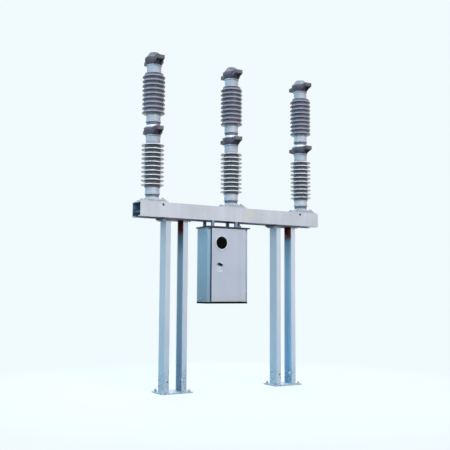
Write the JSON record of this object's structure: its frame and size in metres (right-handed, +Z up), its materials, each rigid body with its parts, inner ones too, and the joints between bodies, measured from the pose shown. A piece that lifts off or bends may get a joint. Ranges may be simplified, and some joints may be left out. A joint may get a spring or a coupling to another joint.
{
  "type": "gas-insulated circuit breaker",
  "caption": "Outdoor live-tank circuit breaker: tall porcelain poles with terminal pads on a channel beam and legs, with a hinged-door mechanism cabinet below.",
  "frame": {"origin": "on the ground under the middle of the beam", "axes": "+X along the beam, +Y to the rear, +Z up; the cabinet door faces -Y"},
  "size_m": [2.6, 0.393, 4.0881],
  "materials": {
    "galvanised_steel": "weathered galvanised",
    "cast_collar": "cast, dull",
    "cast_base": "painted casting",
    "porcelain": "glazed",
    "terminal_casting": "weathered casting",
    "drive_steel": "painted",
    "cabinet_paint": "satin paint",
    "roof_paint": "satin paint",
    "mechanism_paint": "satin paint",
    "indicator_plate": "matt paint",
    "window_ring": "satin",
    "window_glass": "dark tinted",
    "latch_lever": "satin black"
  },
  "bodies": {
    "breaker": {"front_beam_channel": "galvanised_steel", "rear_beam_channel": "galvanised_steel", "beam_spacers": "galvanised_steel", "left_leg_channels": "galvanised_steel", "right_leg_channels": "galvanised_steel", "left_base_plate": "galvanised_steel", "right_base_plate": "galvanised_steel", "left_leg_top_plate": "galvanised_steel", "right_leg_top_plate": "galvanised_steel", "pole_seats": "galvanised_steel", "cabinet_hangers": "galvanised_steel", "left_pole_collars": "cast_collar", "middle_pole_collars": "cast_collar", "right_pole_collars": "cast_collar", "left_pole_base": "cast_base", "middle_pole_base": "cast_base", "right_pole_base": "cast_base", "left_support_insulator": "porcelain", "left_interrupter_insulator": "porcelain", "middle_support_insulator": "porcelain", "middle_interrupter_insulator": "porcelain", "right_support_insulator": "porcelain", "right_interrupter_insulator": "porcelain", "left_lower_terminal": "terminal_casting", "left_upper_terminal": "terminal_casting", "middle_lower_terminal": "terminal_casting", "middle_upper_terminal": "terminal_casting", "right_lower_terminal": "terminal_casting", "right_upper_terminal": "terminal_casting", "crank_housings": "drive_steel", "drive_rods": "drive_steel", "cabinet_left_wall": "cabinet_paint", "cabinet_right_wall": "cabinet_paint", "cabinet_back_wall": "cabinet_paint", "cabinet_floor": "cabinet_paint", "stile_hinges": "cabinet_paint", "cabinet_roof": "roof_paint", "mechanism_unit": "mechanism_paint", "position_indicator": "indicator_plate"},
    "door": {"door": "cabinet_paint", "window_ring": "window_ring", "window_glass": "window_glass", "latch_plate": "cabinet_paint", "door_hinges": "cabinet_paint"},
    "latch": {"latch_lever": "latch_lever"}
  },
  "joints": [
    {"name": "door_hinge", "type": "hinge", "parent": "breaker", "child": "door", "pos_m": [0.133, -0.149, 1.528], "axis": [0, 0, 1], "range_deg": [0, 115]},
    {"name": "latch_turn", "type": "hinge", "parent": "door", "child": "latch", "pos_m": [-0.253, -0.165, 1.533], "axis": [0, -1, 0], "range_deg": [0, 90]}
  ]
}
